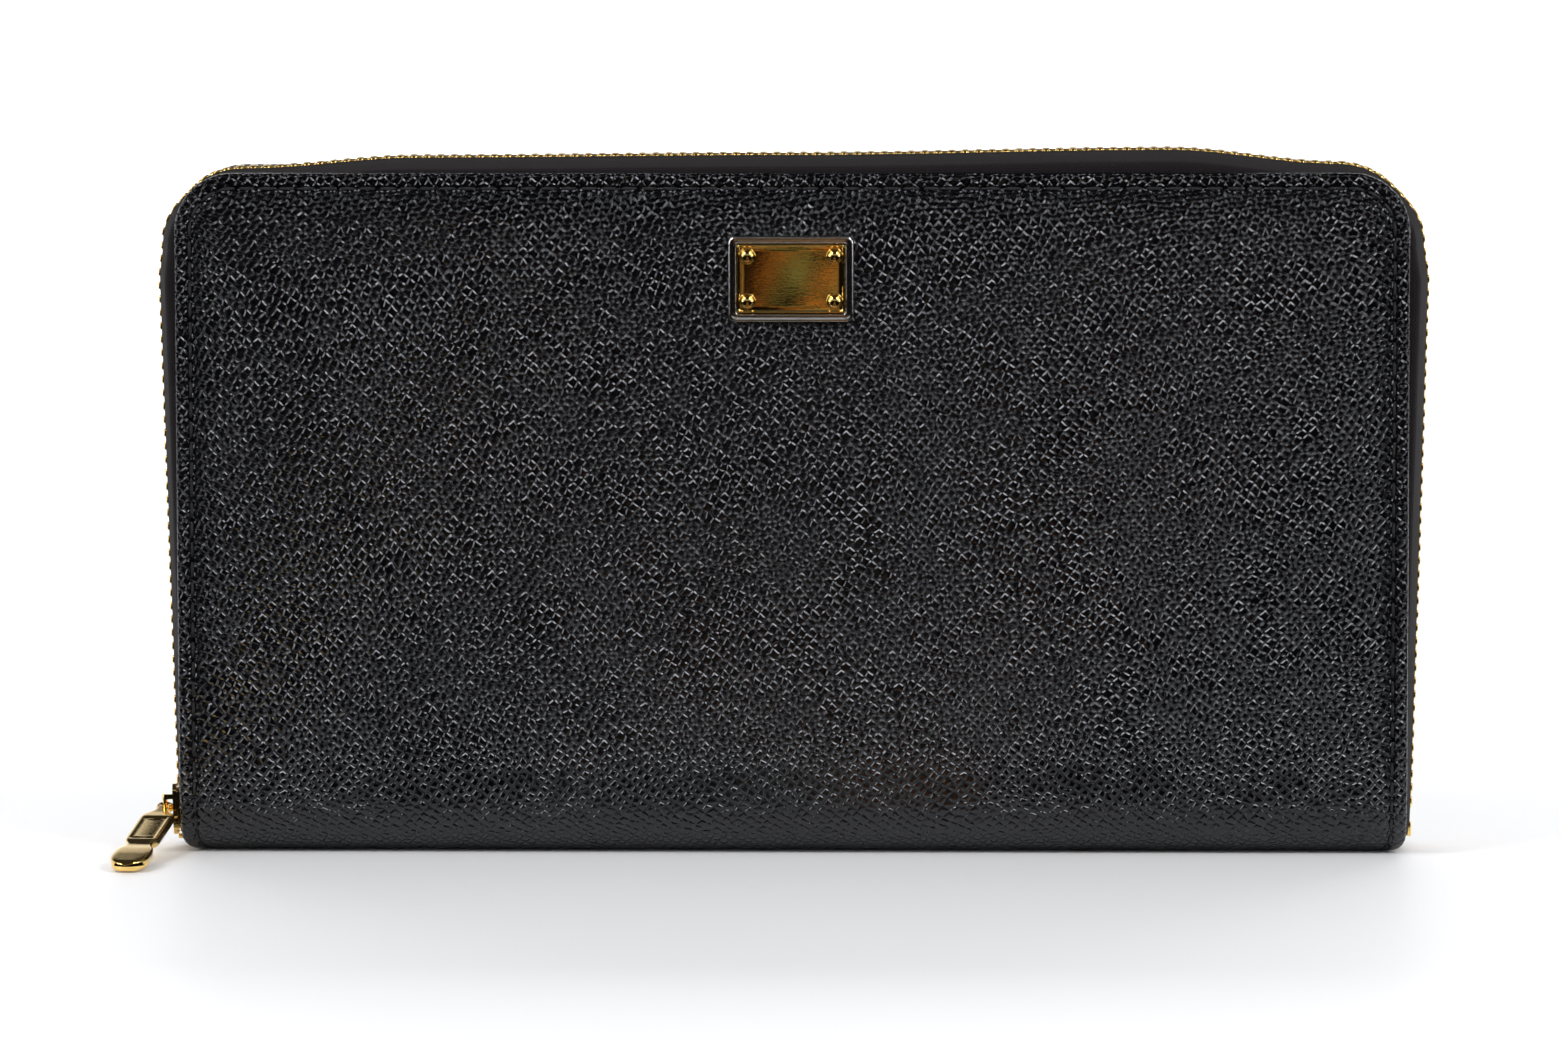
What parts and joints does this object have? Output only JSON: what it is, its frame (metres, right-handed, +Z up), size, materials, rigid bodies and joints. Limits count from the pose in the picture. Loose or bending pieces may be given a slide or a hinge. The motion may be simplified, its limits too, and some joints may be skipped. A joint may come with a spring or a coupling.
{
  "type": "zip around wallet",
  "caption": "Long leather wallet that stands on its folded spine, closed by a metal zip round three sides, with card slots, bill compartments and a zipped coin pouch inside.",
  "frame": {"origin": "middle of the flat base of the folded spine", "axes": "+X along the width, front cover faces -Y, +Z up"},
  "size_m": [0.204, 0.0431, 0.1087],
  "materials": {
    "outer_leather": "satin pebble grain",
    "pocket_leather": "satin fine grain",
    "lining": "matt woven",
    "zip_tape": "matt herringbone weave",
    "thread": "waxed thread",
    "padding": "thin foam sheet",
    "board": "pressed fibre board",
    "gold_metal": "polished light gold",
    "gold_plate": "mirror gold",
    "polished_steel": "polished nickel"
  },
  "bodies": {
    "spine": {"spine_leather": "outer_leather", "spine_board": "board", "spine_lining": "lining", "spine_stitching": "thread", "front_zip_tape_ends": "zip_tape", "back_zip_tape_ends": "zip_tape", "zip_end_teeth": "gold_metal", "zip_top_stops": "gold_metal", "zip_bottom_stop": "gold_metal", "pouch_front_wall": "pocket_leather", "pouch_back_wall": "pocket_leather", "pouch_binding": "pocket_leather", "pouch_front_tape": "zip_tape", "pouch_back_tape": "zip_tape", "pouch_front_teeth": "gold_metal", "pouch_back_teeth": "gold_metal", "pouch_zip_stops": "gold_metal", "front_left_gusset": "lining", "front_right_gusset": "lining", "back_left_gusset": "lining", "back_right_gusset": "lining"},
    "front_cover": {"front_leather": "outer_leather", "front_padding": "padding", "front_board": "board", "front_lining": "lining", "front_stitching": "thread", "front_zip_tape": "zip_tape", "front_zip_teeth": "gold_metal", "front_slip_pocket": "pocket_leather", "front_card_slot_1": "pocket_leather", "front_card_slot_2": "pocket_leather", "front_card_slot_3": "pocket_leather", "front_card_slot_4": "pocket_leather", "plaque_frame": "polished_steel", "plaque_plate": "gold_plate", "plaque_screws": "gold_plate", "plaque_backplate": "polished_steel"},
    "back_cover": {"back_leather": "outer_leather", "back_padding": "padding", "back_board": "board", "back_lining": "lining", "back_stitching": "thread", "back_zip_tape": "zip_tape", "back_zip_teeth": "gold_metal", "back_slip_pocket": "pocket_leather", "back_card_slot_1": "pocket_leather", "back_card_slot_2": "pocket_leather", "back_card_slot_3": "pocket_leather", "back_card_slot_4": "pocket_leather"},
    "zip_slider": {"zip_slider": "gold_metal"},
    "zip_pull": {"zip_pull": "gold_metal"},
    "pouch_slider": {"pouch_slider": "gold_metal"},
    "pouch_pull": {"pouch_pull": "gold_metal"}
  },
  "joints": [
    {"name": "front_cover_open", "type": "hinge", "parent": "spine", "child": "front_cover", "pos_m": [0, -0.0115, 0.009], "axis": [1, 0, 0], "range_deg": [0, 45], "deforming": ["front_left_gusset", "front_right_gusset"]},
    {"name": "back_cover_open", "type": "hinge", "parent": "spine", "child": "back_cover", "pos_m": [0, 0.0115, 0.009], "axis": [-1, 0, 0], "range_deg": [0, 45], "deforming": ["back_left_gusset", "back_right_gusset"]},
    {"name": "zip_slide", "type": "slide", "parent": "spine", "child": "zip_slider", "axis": [-0.0279, 0, 0.9996], "range_m": [0, 0.078], "deforming": ["front_zip_teeth", "back_zip_teeth", "zip_end_teeth"]},
    {"name": "zip_pull_swing", "type": "hinge", "parent": "zip_slider", "child": "zip_pull", "pos_m": [-0.09887, 0, 0.00597], "axis": [-0.0279, 0, 0.9996], "range_deg": [-150, 5]},
    {"name": "pouch_slide", "type": "slide", "parent": "spine", "child": "pouch_slider", "axis": [1, 0, 0], "range_m": [0, 0.156], "deforming": ["pouch_front_teeth", "pouch_back_teeth"]},
    {"name": "pouch_pull_flip", "type": "hinge", "parent": "pouch_slider", "child": "pouch_pull", "pos_m": [-0.08, 0, 0.08843], "axis": [0, -1, 0], "range_deg": [0, 160]}
  ],
  "couplings": [
    {"joint": "back_cover_open", "follows": "front_cover_open", "ratio": 1}
  ]
}
